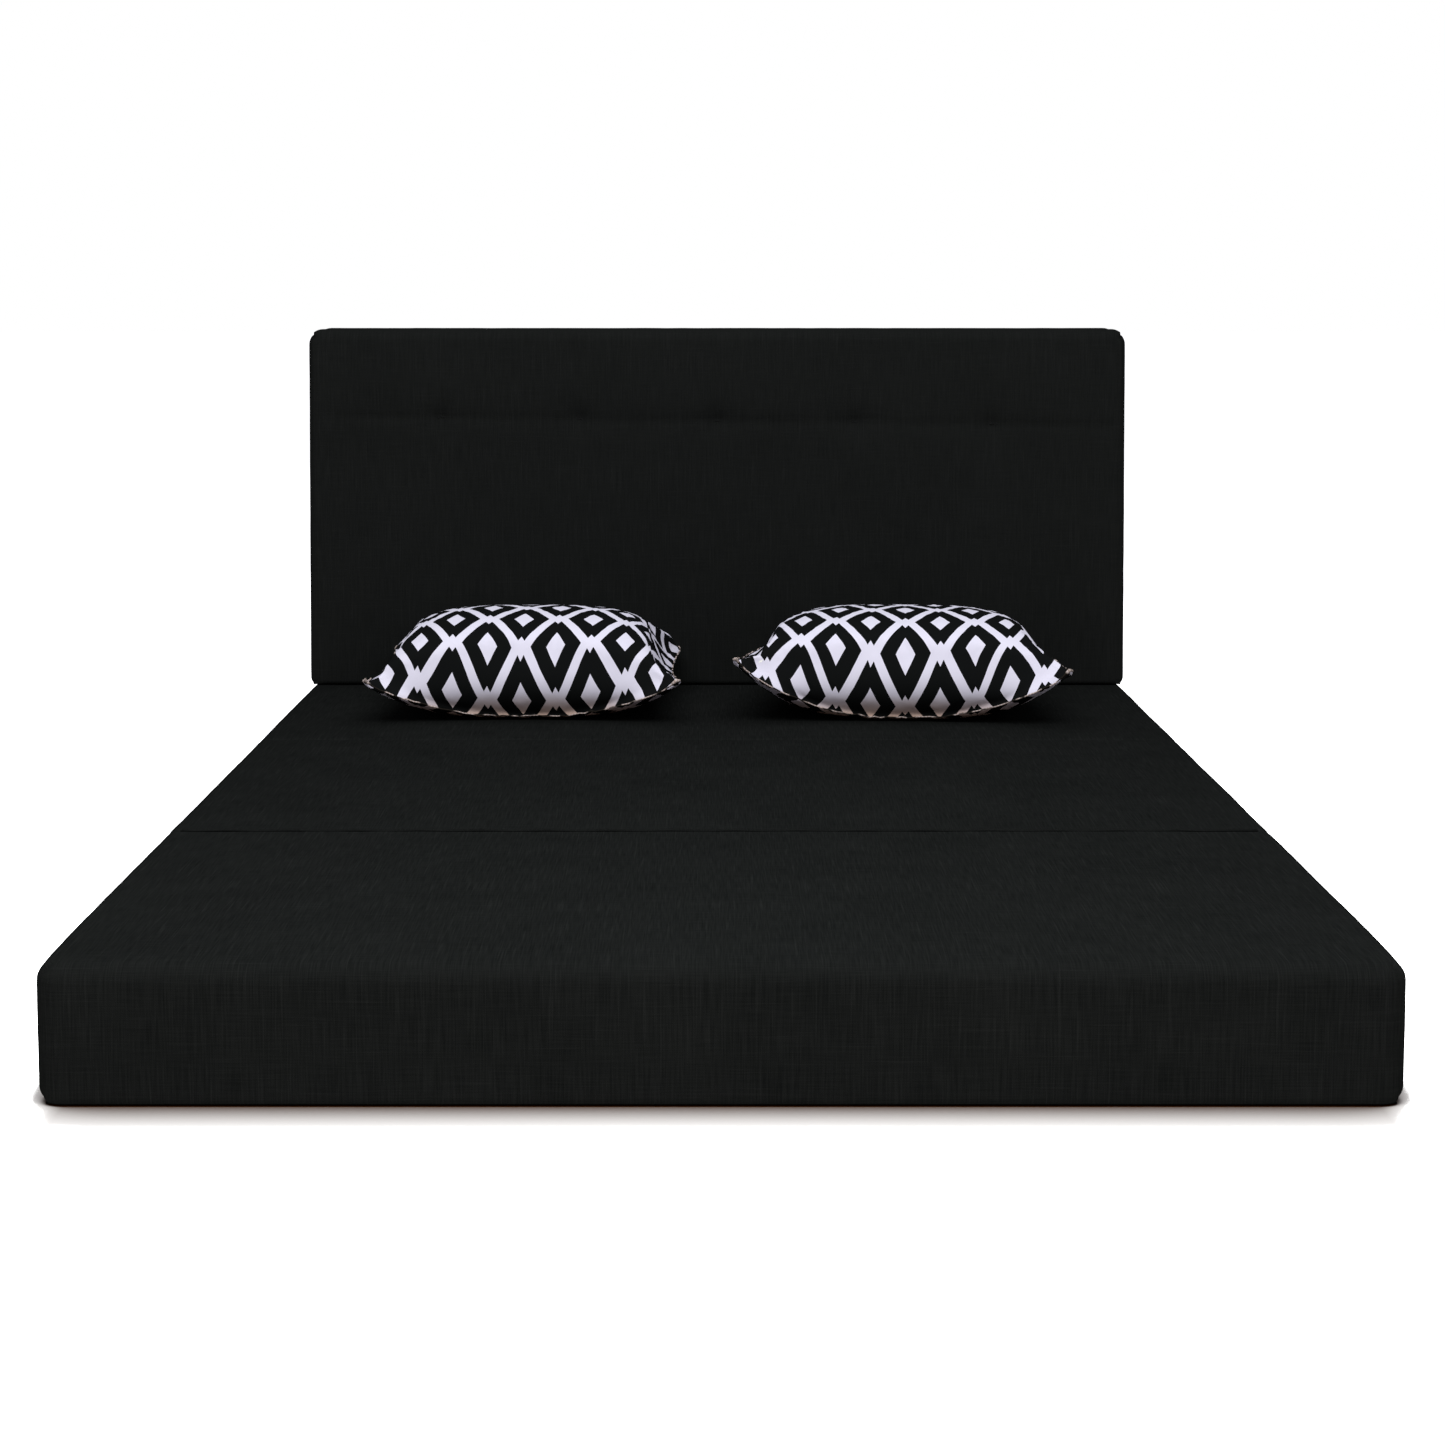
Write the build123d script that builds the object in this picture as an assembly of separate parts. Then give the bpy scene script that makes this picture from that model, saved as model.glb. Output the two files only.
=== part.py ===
"""Folding foam sofa bed: three hinged mattress panels, a tufted backrest and two loose cushions.

Frame: +X to the right, +Y to the rear, +Z up, millimetres. The origin is on the floor,
at the centre of the footprint. The bed is laid out flat with its backrest upright.
"""

from build123d import *
import math
import os

# ---------------------------------------------------------------- driving dimensions
WIDTH = 1219.0          # whole bed, left to right
LENGTH = 1829.0         # whole bed, front to rear
PANEL_HEIGHT = 127.0    # thickness of one mattress panel
GAP = 4.0               # between two panels laid flat
STRIP = 1.2             # thickness of a fabric fold strip
COVER = 1.5             # thickness of the cover cloth and of the base cloth
SLACK = 0.3             # room between a cloth and the foam in it

EDGE_RADIUS = 16.0      # outer top edges of a panel
FOLD_RADIUS = 6.0       # edges that meet another panel
BASE_RADIUS = 5.0       # lower edges that meet another panel
FOOT_RADIUS = 12.0      # outer lower edges
PLAN_RADIUS = 19.0      # outer upright corners

BACK_HEIGHT = 533.0     # backrest, bottom to top
BACK_THICK = 115.0      # backrest, front to rear
SEAT_LIFT = 0.6         # room under anything that stands on a panel
WADDING = 24.0          # quilt layer over the backrest's foam

TUFTS = 5
TUFT_PITCH = 205.0
TUFT_DROP = 136.0       # the cross seam and its tufts, below the backrest's top
TUFT_DEPTH = 14.0
TUFT_MOUTH = 38.0       # radius of the pit round a tuft, at the face
TUFT_FLOOR = 10.0       # and at its floor, under the bar tack
TUFT_FLANKS = 16        # small folds that the cloth gathers into round a tuft
TWINE = 2.2             # width of a tie, a square cord
WASHER = 14.0           # side of the felt square that holds a tie behind
SEAM_DEPTH = 6.0
SEAM_ROD = 30.0         # radius of the hollow along the cross seam
PLEAT_DEPTH = 8.0       # of the creases that run out of a tuft, at the tuft
PLEAT_UP = 75.0
PLEAT_DOWN = 65.0

ZIP_LENGTH = 1100.0     # panel and backrest zips
ZIP_INSET = 45.0        # zip line to the panel edge beside it
ZIP_SINK = 7.9          # how deep the tape lies in its placket
PLACKET = 14.5          # half the placket's opening

CUSHION_X = 221.0       # half width
CUSHION_Y = 203.0       # half depth
CUSHION_ABOVE = 91.0    # crown above the seam
CUSHION_BELOW = 50.0    # seam above the seat
CUSHION_PULL = 22.0     # how far a side draws in between its pointed corners
CUSHION_ZIP = 240.0
CUSHIONS = {"left": (-266.0, 588.0, 0.0), "right": (262.0, 574.0, -4.0)}  # centre x, y, turn

# ---------------------------------------------------------------- places that follow
REAR = LENGTH / 2 - STRIP                          # rear faces, inside the backrest strip
DEPTH = (LENGTH - STRIP - 2 * GAP) / 3             # front to rear of one panel
PITCH = DEPTH + GAP
PANELS = {
    name: (-LENGTH / 2 + i * PITCH, -LENGTH / 2 + i * PITCH + DEPTH)
    for i, name in enumerate(("front", "mid", "rear"))
}
TOP_FOLD = PANELS["front"][1] + GAP / 2            # y of the fold between front and middle
BOTTOM_FOLD = PANELS["mid"][1] + GAP / 2           # y of the fold between middle and rear
SEAT = PANEL_HEIGHT + SEAT_LIFT                    # z that the backrest and cushions stand at
TUFT_LINE = BACK_HEIGHT - TUFT_DROP


# ---------------------------------------------------------------- shared forms
def rounded(x0, y0, x1, y1, radii, inset=0.0):
    """A rectangle with its own radius, less the inset, at (x0,y0), (x1,y0), (x1,y1) and (x0,y1)."""
    corners = ((x0, y0, 1, 1), (x1, y0, -1, 1), (x1, y1, -1, -1), (x0, y1, 1, -1))
    radii = [max(r - inset, 1.0) for r in radii]
    arcs = [
        CenterArc((x + sx * r, y + sy * r), r, 180 + 90 * i, 90)
        for i, ((x, y, sx, sy), r) in enumerate(zip(corners, radii))
    ]
    sides = [Line(arcs[i] @ 1, arcs[(i + 1) % 4] @ 0) for i in range(4)]
    return make_face(arcs + sides)


def foam_block(y0, y1, height, low, high, inset=0.0):
    """A soft-edged slab: its three outlines, extruded and intersected.

    low and high are the radii of its top edges at y0 and y1: EDGE_RADIUS on an outer edge,
    which has rounder corners and a rounder foot too. inset shrinks every face.
    """
    x1 = WIDTH / 2 - inset
    y0, y1, z0, z1 = y0 + inset, y1 - inset, inset, height - inset
    foot_low, foot_high = (FOOT_RADIUS if r == EDGE_RADIUS else BASE_RADIUS for r in (low, high))
    plan_low, plan_high = (PLAN_RADIUS if r == EDGE_RADIUS else r for r in (low, high))
    end = rounded(y0, z0, y1, z1, (foot_low, foot_high, high, low), inset)
    front = rounded(-x1, z0, x1, z1, (FOOT_RADIUS, FOOT_RADIUS, EDGE_RADIUS, EDGE_RADIUS), inset)
    plan = rounded(-x1, y0, x1, y1, (plan_low, plan_low, plan_high, plan_high), inset)
    block = extrude(Plane.XZ * front, amount=2 * LENGTH, both=True)
    block &= extrude(plan, amount=2 * height, both=True)
    return block & extrude(Plane.YZ * end, amount=WIDTH, both=True)


def slab(z0, z1):
    """Everything between two heights."""
    return Pos(0, 0, (z0 + z1) / 2) * Box(4 * WIDTH, 4 * LENGTH, z1 - z0)


def base_cloth(block, zip_y):
    """The flat cloth that closes a block, with a sunken placket round its zip."""
    length = ZIP_LENGTH + 16
    wall = Pos(0, zip_y, ZIP_SINK / 2) * Box(length + 2 * COVER, 2 * (PLACKET + COVER), ZIP_SINK)
    mouth = Pos(0, zip_y, ZIP_SINK / 2) * Box(length, 2 * PLACKET, 2 * ZIP_SINK)
    return (block & slab(0, COVER)) + wall - mouth


def zip_room(zip_y):
    """The channel that the foam leaves for the placket and the zip in it."""
    depth = ZIP_SINK + 1.2
    return Pos(0, zip_y, depth / 2) * Box(ZIP_LENGTH + 24, 2 * (PLACKET + COVER + 1), depth)


# ---------------------------------------------------------------- zips
# Their own frame: x along the zip, z outwards, z = 0 on the tape's hidden face.
TAPE = 0.8
COIL = 1.2
SLIDER_BASE = 3.1
SLIDER_PLATE = 1.1
ZIP_END = 20.0          # the slider's place, short of the end of the chain


def zip_chain(length, half_width):
    chain = Pos(0, 0, TAPE / 2) * Box(length, 2 * half_width, TAPE)
    coil = extrude(Plane.YZ * RegularPolygon(COIL, 8), amount=length / 2 - 6, both=True)
    for side in (-1, 1):
        chain += Pos(0, side * 1.25, TAPE + 0.7) * coil
        chain += Pos(side * (length / 2 - 6), 0, TAPE + 1) * Box(4, 7, 2.4)
    return chain


def zip_slider(length):
    """The slider at the closed end, and its pull tab lying along the zip."""
    outline = make_face(Polyline((7, -5), (7, 5), (-7, 3.8), (-7, -3.8), close=True))
    outline = chamfer(outline.vertices(), 1.2)
    body = Pos(0, 0, SLIDER_BASE) * extrude(outline, amount=SLIDER_PLATE)
    for side in (-1, 1):
        body += Pos(0, side * 3.5, 2.2) * Box(10, 0.8, 2.0)
    top = SLIDER_BASE + SLIDER_PLATE
    for x in (-4.2, 3.4):
        body += Pos(x, 0, top + 1.0) * Box(1.2, 2.2, 2.2)
    body += Pos(-0.4, 0, top + 1.8) * Box(8.8, 2.2, 0.8)
    tab = Pos(-13, 0, 0) * extrude(chamfer(Rectangle(26, 7).vertices(), 1.8), amount=0.9)
    tab -= Pos(-5.0, 0, 0.45) * Box(5.0, 3.6, 2)
    tab = Pos(0.2, 0, top + 0.25) * tab
    return [Pos(length / 2 - ZIP_END, 0, 0) * piece for piece in (body, tab)]


# ---------------------------------------------------------------- panels
def place(items, where):
    return [where * item for item in items]


def panel(y0, y1, height, low, high, zip_y):
    """One covered block lying on z = 0: its foam, cover, base cloth, zip chain and slider."""
    outer = foam_block(y0, y1, height, low, high)
    foam = foam_block(y0, y1, height, low, high, COVER + SLACK) - zip_room(zip_y)
    cover = outer - foam_block(y0, y1, height, low, high, COVER) - slab(-1, COVER + 0.2)
    sunk = Pos(0, zip_y, ZIP_SINK) * Rot(180, 0, 0)
    return {
        "foam_core": [foam],
        "top_cover": [cover],
        "base_cloth": [base_cloth(outer, zip_y)],
        "zip_chain": place([zip_chain(ZIP_LENGTH, PLACKET - 0.3)], sunk),
        "zip_slider": place(zip_slider(ZIP_LENGTH), sunk),
    }


def mattress_panels():
    nodes = {}
    for name, (y0, y1) in PANELS.items():
        low = EDGE_RADIUS if name == "front" else FOLD_RADIUS
        high = EDGE_RADIUS if name == "rear" else FOLD_RADIUS
        for piece, solids in panel(y0, y1, PANEL_HEIGHT, low, high, y1 - ZIP_INSET).items():
            nodes[f"{name}_{piece}"] = solids
    return nodes


# ---------------------------------------------------------------- fabric hinges
def fold_strip(y, z, radius, turn):
    """The cloth in the groove between two panels, sewn along both rounded edges.

    radius is that of the edges. The groove opens upwards, and turn tips it over.
    """
    near, far = radius + SLACK, radius + SLACK + STRIP   # the leaf's faces, from an edge's centre
    centre = GAP / 2 + radius
    start = math.acos(radius / far) + 0.03               # keeps the leaf inside the groove
    groove = None
    for side in (-1, 1):
        ring = Pos(side * centre, 0) * (Circle(far) - Circle(near))
        edge = (side * (centre - far * math.sin(start)), far * math.cos(start))
        rim = (side * (centre - 2 * far * math.sin(start)), 2 * far * math.cos(start))
        deep = (side * (centre - 2 * far), 0)
        leaf = ring & make_face(Polyline((side * centre, 0), edge, rim, deep, close=True))
        leaf &= Pos(side * far, 0) * Rectangle(2 * far, 4 * far)
        groove = leaf if groove is None else groove + leaf
    groove += Pos(0, -STRIP / 2) * Rectangle(2 * (centre - near), STRIP)
    strip = extrude(Plane.YZ * groove, amount=WIDTH / 2 - EDGE_RADIUS, both=True)
    return Pos(0, y, z) * Rot(turn, 0, 0) * strip


def backrest_strip():
    """The flat band behind, over the joint of the rear panel and the backrest."""
    band = Box(WIDTH - 4 * EDGE_RADIUS, STRIP - 0.2, 70)
    return Pos(0, LENGTH / 2 - (STRIP - 0.2) / 2, SEAT) * band


# ---------------------------------------------------------------- backrest
def tuft_places():
    return [(i - (TUFTS - 1) / 2) * TUFT_PITCH for i in range(TUFTS)]


def pleat(run, grow):
    """A crease along y, deepest at y = 0 and gone at y = run. Its flanks stand at 45 degrees."""
    bottom = -PLEAT_DEPTH - grow * math.sqrt(2)
    rise = 3 * PLEAT_DEPTH
    groove = make_face(Polyline((0, bottom), (rise, bottom + rise), (-rise, bottom + rise), close=True))
    tilt = math.degrees(math.atan2(math.copysign(PLEAT_DEPTH, run), abs(run)))
    return Pos(0, 0, bottom) * Rot(tilt, 0, 0) * Pos(0, 0, -bottom) * extrude(Plane.XZ * groove, -1.2 * run)


def tuft_pit(grow):
    """The hollow round a tuft: a gathered funnel with flat flanks, which runs out through the face."""
    floor = -TUFT_DEPTH - grow
    depth = TUFT_DEPTH + 2 * grow
    mouth = TUFT_FLOOR + (TUFT_MOUTH - TUFT_FLOOR) * depth / TUFT_DEPTH
    low, high = (
        [(Pos(0, 0, z) * spot).position for spot in PolarLocations(radius + grow, TUFT_FLANKS)]
        for radius, z in ((TUFT_FLOOR, floor), (mouth, floor + depth))
    )
    outlines = [(low[i - 1], low[i], high[i], high[i - 1]) for i in range(TUFT_FLANKS)]
    outlines += [low[::-1], high]
    return Solid(Shell([Face(Wire.make_polygon(outline)) for outline in outlines]))


def pinch(grow):
    """What the tufts, the cross seam and the pleats press out of the backrest's face."""
    seam = Pos(0, 0, SEAM_ROD - SEAM_DEPTH) * Rot(0, 90, 0) * Cylinder(SEAM_ROD + grow, 2 * WIDTH)
    pressed = (tuft_pit(grow), pleat(PLEAT_UP, grow), pleat(-PLEAT_DOWN, grow))
    tools = [seam] + [Pos(x, 0, 0) * form for x in tuft_places() for form in pressed]
    return place(tools, Pos(0, TUFT_LINE, BACK_THICK))


def cut(solid, tools):
    for tool in tools:
        solid -= tool
    return solid


def tuft_ties():
    """A tie through each tuft: a stitched bar tack in front, a cord and a felt square behind."""
    floor = BACK_THICK - TUFT_DEPTH
    ties = []
    for x in tuft_places():
        tie = Pos(x, TUFT_LINE, (floor + 5) / 2) * Box(TWINE, TWINE, floor - 2)
        tie += Pos(x, TUFT_LINE, floor + 1.7) * Box(16, 2.6, 1.8)
        tie += Pos(x, TUFT_LINE, 3.6) * Box(WASHER, WASHER, 1.6)
        ties.append(tie)
    return ties


def tie_holes():
    holes = []
    for x in tuft_places():
        holes.append(Pos(x, TUFT_LINE, BACK_THICK / 2) * Box(TWINE + 1, TWINE + 1, BACK_THICK - 4))
        holes.append(Pos(x, TUFT_LINE, 3) * Box(WASHER + 1, WASHER + 1, 4))
    return holes


def backrest():
    """Made lying on its back, front face up, then stood on the rear panel."""
    size = (0, BACK_HEIGHT, BACK_THICK, BASE_RADIUS + 3, EDGE_RADIUS)
    pieces = panel(*size, ZIP_INSET)
    core_top = BACK_THICK - COVER - SLACK - WADDING
    filling = foam_block(*size, COVER + SLACK)
    wadding = cut(filling & slab(core_top + SLACK, BACK_THICK), pinch(COVER + SLACK))
    skin = cut(foam_block(*size), pinch(0)) - cut(foam_block(*size, COVER), pinch(COVER))
    skin -= slab(-1, COVER + 0.2)
    pieces["foam_core"] = [cut(pieces["foam_core"][0] & slab(0, core_top), tie_holes())]
    pieces["wadding"] = [cut(wadding, tie_holes())]
    pieces["front_cover"] = [cut(skin, tie_holes())]
    pieces["back_cover"] = pieces.pop("base_cloth")
    pieces["tuft_ties"] = tuft_ties()
    pieces.pop("top_cover")
    stand = Pos(0, REAR, SEAT) * Rot(90, 0, 0)
    return {f"backrest_{name}": place(solids, stand) for name, solids in pieces.items()}


# ---------------------------------------------------------------- loose cushions
def cushion_outline(inset):
    """Pointed corners, and sides drawn in between them."""
    a, b = CUSHION_X - inset, CUSHION_Y - inset
    corners = ((a, b), (-a, b), (-a, -b), (a, -b))
    middles = ((0, b - CUSHION_PULL), (CUSHION_PULL - a, 0), (0, CUSHION_PULL - b), (a - CUSHION_PULL, 0))
    sides = [
        ThreePointArc(corner, middles[i], corners[(i + 1) % 4])
        for i, corner in enumerate(corners)
    ]
    return make_face(sides)


def crown(plane, half_width, height):
    """The space under one long arc that rises from the seam to the crown and back."""
    ends = ((-half_width, 0), (half_width, 0))
    profile = make_face([ThreePointArc(ends[0], (0, height), ends[1]), Line(*ends)])
    return extrude(plane * profile, amount=2 * CUSHION_X, both=True)


def cushion_half(height, inset):
    """One half of the pillow: its two crowned profiles crossed inside its outline."""
    half = crown(Plane.XZ, CUSHION_X - inset, height - inset)
    half &= crown(Plane.YZ, CUSHION_Y - inset, height - inset)
    return half & extrude(cushion_outline(inset), amount=height)


def cushion(name):
    x, y, turn = CUSHIONS[name]
    rear = CUSHION_Y - CUSHION_PULL                # the rear seam at its middle
    slot = Pos(0, rear + 6, 0) * Box(CUSHION_ZIP + 16, 24, 10.4)
    over = Rot(180, 0, 0)                          # turns an upper half into a lower one
    halves = {
        side: (cushion_half(height, 0) - cushion_half(height, COVER)) & slab(0.15, 2 * height)
        for side, height in (("upper", CUSHION_ABOVE), ("lower", CUSHION_BELOW))
    }
    fill = cushion_half(CUSHION_ABOVE, COVER + SLACK)
    fill += over * cushion_half(CUSHION_BELOW, COVER + SLACK)
    seam = Pos(0, rear - 5, 0) * Rot(-90, 0, 0)
    where = Pos(x, y, SEAT + CUSHION_BELOW) * Rot(0, 0, turn)
    pieces = {
        "upper_cover": [halves["upper"] - slot],
        "lower_cover": [over * halves["lower"] - slot],
        "filling": [fill - slot],
        "zip_chain": place([zip_chain(CUSHION_ZIP, 4.2)], seam),
        "zip_slider": place(zip_slider(CUSHION_ZIP), seam),
    }
    return {f"{name}_cushion_{piece}": place(solids, where) for piece, solids in pieces.items()}


# ---------------------------------------------------------------- the whole bed
def main():
    nodes = mattress_panels()
    nodes["top_fold_strip"] = [fold_strip(TOP_FOLD, PANEL_HEIGHT - FOLD_RADIUS, FOLD_RADIUS, 0)]
    nodes["bottom_fold_strip"] = [fold_strip(BOTTOM_FOLD, BASE_RADIUS, BASE_RADIUS, 180)]
    nodes["backrest_strip"] = [backrest_strip()]
    nodes.update(backrest())
    for name in CUSHIONS:
        nodes.update(cushion(name))
    os.makedirs("parts", exist_ok=True)
    for name, shapes in nodes.items():
        solids = [solid for shape in shapes for solid in shape.solids()]
        export_step(Compound(label=name, children=solids), f"parts/{name}.step")


main()
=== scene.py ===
"""Looks of the folding sofa bed: covers, tufting, fold strips, printed cushions, light and camera."""
import math
from functools import partialmethod

import bpy
import numpy as np
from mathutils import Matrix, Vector, noise


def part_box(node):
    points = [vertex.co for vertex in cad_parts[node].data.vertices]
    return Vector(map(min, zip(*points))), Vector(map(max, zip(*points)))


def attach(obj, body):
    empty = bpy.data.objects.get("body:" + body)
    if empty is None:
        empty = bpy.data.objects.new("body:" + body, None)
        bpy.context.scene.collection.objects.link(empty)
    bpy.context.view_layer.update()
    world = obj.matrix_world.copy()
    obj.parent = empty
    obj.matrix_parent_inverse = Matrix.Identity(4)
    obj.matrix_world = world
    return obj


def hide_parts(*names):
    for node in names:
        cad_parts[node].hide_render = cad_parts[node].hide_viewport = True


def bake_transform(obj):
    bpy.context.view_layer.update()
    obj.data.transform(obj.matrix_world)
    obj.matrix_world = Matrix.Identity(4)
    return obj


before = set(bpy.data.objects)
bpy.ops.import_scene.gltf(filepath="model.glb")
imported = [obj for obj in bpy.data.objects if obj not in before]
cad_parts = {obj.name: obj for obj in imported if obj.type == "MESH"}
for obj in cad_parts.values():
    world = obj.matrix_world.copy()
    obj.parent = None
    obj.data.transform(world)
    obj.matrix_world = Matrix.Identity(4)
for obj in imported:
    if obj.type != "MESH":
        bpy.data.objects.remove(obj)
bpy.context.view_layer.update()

SCENE = bpy.context.scene
MM = 0.001
PANELS = ("front", "mid", "rear")
CUSHION_TURN = {"left": 0.0, "right": math.radians(-4.0)}

# ---- sizes, in metres
EDGE_RADIUS = 18.0 * MM         # outer top edges
SIDE_RADIUS = 11.0 * MM         # upper edges along a panel's two sides
SIDE_SOFTENING = 8.0 * MM       # and how much rounder they get at the outer corners
FOLD_RADIUS = 5.6 * MM          # edges beside a fold
FOOT_RADIUS = 14.0 * MM         # lower edges along the sides
END_FOOT_RADIUS = 7.0 * MM      # and at the front and the rear
BASE_RADIUS = 4.7 * MM          # lower edges beside a fold
PLAN_RADIUS = 23.0 * MM         # outer upright corners
FOLD_PLAN_RADIUS = 11.0 * MM    # upright corners beside a fold
CLOTH = 1.2 * MM                # thickness of the cover cloth
HEM = 26.0 * MM                 # how far a cover turns in under its block
STRIP = 0.8 * MM                # thickness of a fold strip
PLACKET_DEPTH = 7.6 * MM
PLACKET_SPARE = 8.0 * MM        # the placket runs on past each end of the zip
FOAM_INSET = 4.5 * MM           # foam, in from the outside of its cover
CORE_BASE = 9.0 * MM            # underside of the foam, over the placket
BASE_INSET = 8.0 * MM           # edge of the base cloth, in from the block's side
BACK_FOOT_RADIUS = 7.5 * MM     # front lower edge of the backrest
BASE_SKIN = 0.3 * MM            # a base cloth before it is thickened, above the underside
BASE_CLOTH = 1.0 * MM           # and its thickness
LIFT_OFF = 0.2 * MM             # least height of a cover over the plane it lies on
TUFTS = 5
TACK_HALF = 8.0 * MM            # from the end tufts' middle to the end of their ties
TINY = 1e-9


# ---- the frame's places
def span(*nodes):
    """Lowest and highest corner of some CAD nodes together."""
    lows, highs = zip(*(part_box(node) for node in nodes))
    return np.min(lows, axis=0), np.max(highs, axis=0)


PANEL_BOX = {name: span(f"{name}_top_cover", f"{name}_base_cloth") for name in PANELS}
BACK_BOX = span("backrest_front_cover", "backrest_back_cover")
SEAT = PANEL_BOX["rear"][1][2]
TIE_LOW, TIE_HIGH = span("backrest_tuft_ties")
TUFT_X = np.linspace(TIE_LOW[0] + TACK_HALF, TIE_HIGH[0] - TACK_HALF, TUFTS)
TUFT_LINE = (TIE_LOW[2] + TIE_HIGH[2]) / 2 - BACK_BOX[0][2]     # above the backrest's foot


# ---- mesh helpers
def add_object(name, data):
    obj = bpy.data.objects.new(name, data)
    SCENE.collection.objects.link(obj)
    return obj


def add_mesh(name, points, faces, uv=None):
    """A smooth-shaded object from arrays. uv holds one pair for each face corner."""
    mesh = bpy.data.meshes.new(name)
    mesh.from_pydata(np.asarray(points).tolist(), [], np.asarray(faces).tolist())
    if uv is not None:
        mesh.uv_layers.new(name="cloth").data.foreach_set("uv", np.asarray(uv, float).ravel())
    mesh.shade_smooth()
    return add_object(name, mesh)


def solidify(obj, thickness, offset=-1.0):
    mod = obj.modifiers.new("cloth", "SOLIDIFY")
    mod.thickness = thickness
    mod.offset = offset


def apply_modifiers(obj):
    """Bakes an object's modifiers into its mesh."""
    graph = bpy.context.evaluated_depsgraph_get()
    mesh = bpy.data.meshes.new_from_object(obj.evaluated_get(graph))
    obj.modifiers.clear()
    obj.data = mesh


def grid_quads(rows, columns):
    """Quads of a grid of points stored row by row."""
    index = np.arange(rows * columns).reshape(rows, columns)
    corners = (index[:-1, :-1], index[1:, :-1], index[1:, 1:], index[:-1, 1:])
    return np.stack(corners, -1).reshape(-1, 4)


def ring_quads(rings, count):
    """Quads of a tube of rings with so many points each, stored ring by ring."""
    index = np.arange(rings * count).reshape(rings, count)
    ahead = np.roll(index, -1, axis=1)
    return np.stack([index[:-1], ahead[:-1], ahead[1:], index[1:]], -1).reshape(-1, 4)


def running(steps):
    """The distance run at each point of a path, from its steps."""
    return np.concatenate([[0], np.cumsum(steps)])


def weld(points, quads):
    """Makes points that lie in one place one point."""
    unique, where = np.unique(np.round(points, 7), axis=0, return_inverse=True)
    return unique, where.reshape(-1)[quads]


def smoothstep(value, low, high):
    t = np.clip((value - low) / (high - low), 0, 1)
    return t * t * (3 - 2 * t)


def ripple(points, scale, seed):
    """Smooth noise from about -1 to 1 at each point."""
    shift = Vector((seed * 7.31, seed * 3.17, seed * 1.93))
    return np.array([noise.noise(Vector(p) / scale + shift) for p in points])


def vertex_normals(points, quads):
    a, b, c, d = (points[quads[:, i]] for i in range(4))
    face = np.cross(c - a, d - b)
    total = np.zeros_like(points)
    for i in range(4):
        np.add.at(total, quads[:, i], face)
    return total / np.maximum(np.linalg.norm(total, axis=1, keepdims=True), 1e-12)


# ---- soft blocks
def ticks(low, high, radius_low, radius_high, step, turns=6):
    """Places along a side: even angles round each end's radius, and about step apart between."""
    bend = np.tan(np.linspace(0, math.pi / 4, turns + 1))
    count = max(1, round((high - low - radius_low - radius_high) / step))
    middle = np.linspace(low + radius_low, high - radius_high, count + 1)
    start = low + radius_low * (1 - bend[:0:-1])
    end = high - radius_high * (1 - bend[1:])
    return np.concatenate([start, middle, end])


def box_grid(sides):
    """Points, quads and unrolled cloth coordinates of a box gridded over its sides' ticks."""
    points, quads, flat = [], [], []
    start = 0
    top = sides[2][-1]
    for axis in range(3):
        a, b = (axis + 1) % 3, (axis + 2) % 3
        for end in (0, -1):
            grid = np.empty((len(sides[a]), len(sides[b]), 3))
            grid[..., a], grid[..., b] = np.meshgrid(sides[a], sides[b], indexing="ij")
            grid[..., axis] = sides[axis][end]
            q = grid_quads(*grid.shape[:2])
            q = q if end == -1 else q[:, ::-1]
            p = grid.reshape(-1, 3)
            uv = p[:, :2].copy()
            if axis < 2:                                       # an upright side, unrolled from the top
                uv[:, axis] += (top - p[:, 2]) * (1 if end == -1 else -1)
            points.append(p)
            quads.append(q + start)
            flat.append(uv)
            start += len(p)
    points, quads, flat = np.concatenate(points), np.concatenate(quads), np.concatenate(flat)
    return *weld(points, quads), flat[quads]


def round_edge(p, a, b, end_a, end_b, radius):
    """Bends the square edge of a box, where axes a and b meet, into an arc.

    end_a and end_b are (place of the side, its outward sign). The radius may differ from point to point.
    """
    (side_a, sign_a), (side_b, sign_b) = end_a, end_b
    radius = np.broadcast_to(radius, len(p))
    u = radius + sign_a * (p[:, a] - side_a)
    v = radius + sign_b * (p[:, b] - side_b)
    near = (u > TINY) & (v > TINY)
    shrink = np.maximum(u, v)[near] / np.hypot(u, v)[near]
    p[near, a] = side_a + sign_a * (u[near] * shrink - radius[near])
    p[near, b] = side_b + sign_b * (v[near] * shrink - radius[near])


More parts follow.
